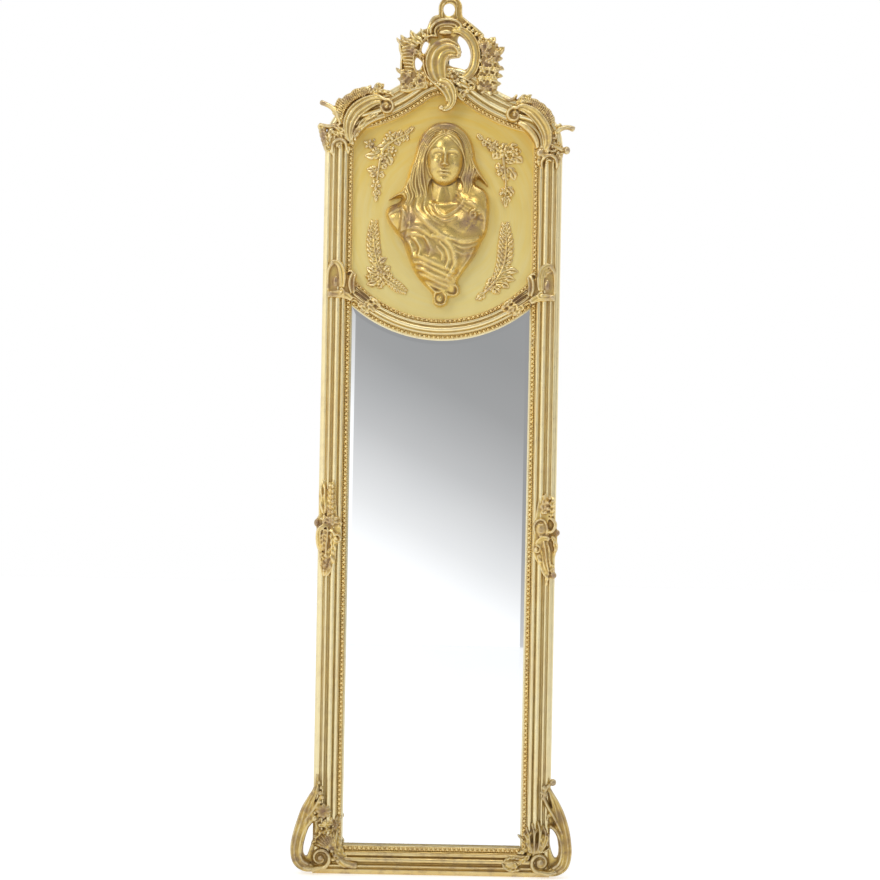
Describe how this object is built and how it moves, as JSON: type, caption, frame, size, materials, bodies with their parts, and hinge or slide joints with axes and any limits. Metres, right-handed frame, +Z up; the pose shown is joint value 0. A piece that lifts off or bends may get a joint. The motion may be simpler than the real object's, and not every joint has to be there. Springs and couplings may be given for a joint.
{
  "type": "floor mirror",
  "caption": "Tall gilded floor mirror: bevelled glass under a hanging cross rail, relief bust on an arched panel, pierced scroll crest, hanging rings on the back.",
  "frame": {"origin": "on the floor, under the middle of the frame's outer width, in the plane just before the glass seat", "axes": "+X to the viewer's right, +Y from the front to the wall side, +Z up"},
  "size_m": [0.5808, 0.0869, 1.8],
  "materials": {
    "frame_gilt": "gold leaf over gesso on wood, worn and glazed brown in the hollows",
    "bead_gilt": "carved and gilded bead strip, dark glaze between the leaves",
    "ornament_gilt": "carved and gilded scrolls, rubbed highlights, brown glaze in the cuts",
    "crest_gilt": "carved, pierced and gilded crest, rubbed highlights",
    "bust_gilt": "carved and gilded relief with a mauve-grey patina on the raised veil",
    "spray_gilt": "cast and gilded leaves and blossoms",
    "panel_gilt": "satin gold leaf on a flat panel, faint brushed streaks",
    "mirror": "clear silvered glass with a ground and polished bevel",
    "backboard": "dry hardboard",
    "bare_wood": "plain sawn beech",
    "clip_steel": "zinc-plated sheet steel",
    "brass": "lightly tarnished brass",
    "stay_iron": "black painted iron"
  },
  "bodies": {
    "frame": {"left_stile": "frame_gilt", "right_stile": "frame_gilt", "bottom_rail": "frame_gilt", "arch_rail_left": "frame_gilt", "arch_rail_right": "frame_gilt", "cross_rail": "frame_gilt", "bead_left": "bead_gilt", "bead_right": "bead_gilt", "bead_bottom": "bead_gilt", "bead_arch_left": "bead_gilt", "bead_arch_right": "bead_gilt", "bead_cross_upper": "bead_gilt", "bead_cross_lower": "bead_gilt", "mirror_glass": "mirror", "mirror_backing": "backboard", "relief_panel": "panel_gilt", "panel_backing": "backboard", "retainer_clips": "clip_steel", "clip_screws": "brass", "corner_splines": "bare_wood", "rail_blocks": "bare_wood", "cross_dowels": "bare_wood", "arch_dowels": "bare_wood", "hanger_straps": "brass", "hanger_screws": "brass", "crest_stay": "stay_iron", "stay_screws": "stay_iron", "bust": "bust_gilt", "spray_upper_left": "spray_gilt", "spray_upper_right": "spray_gilt", "spray_lower_left": "spray_gilt", "spray_lower_right": "spray_gilt", "crest_cartouche": "crest_gilt", "crest_acanthus": "crest_gilt", "crest_left_rocaille": "crest_gilt", "crest_bouquet": "crest_gilt", "crest_drop_leaf": "crest_gilt", "shoulder_scroll_left": "ornament_gilt", "shoulder_scroll_right": "ornament_gilt", "shoulder_capital_left": "ornament_gilt", "shoulder_capital_right": "ornament_gilt", "strap_ornament_left": "ornament_gilt", "strap_ornament_right": "ornament_gilt", "mid_ornament_left": "ornament_gilt", "mid_ornament_right": "ornament_gilt", "foot_scroll_left": "ornament_gilt", "foot_scroll_right": "ornament_gilt", "foot_shell_left": "ornament_gilt", "foot_shell_right": "ornament_gilt"},
    "left_ring": {"left_ring": "brass"},
    "right_ring": {"right_ring": "brass"}
  },
  "joints": [
    {"name": "left_ring_swing", "type": "hinge", "parent": "frame", "child": "left_ring", "pos_m": [-0.2175, 0.0233, 1.33], "axis": [1, 0, 0], "range_deg": [0, 180]},
    {"name": "right_ring_swing", "type": "hinge", "parent": "frame", "child": "right_ring", "pos_m": [0.2175, 0.0233, 1.33], "axis": [1, 0, 0], "range_deg": [0, 180]}
  ]
}
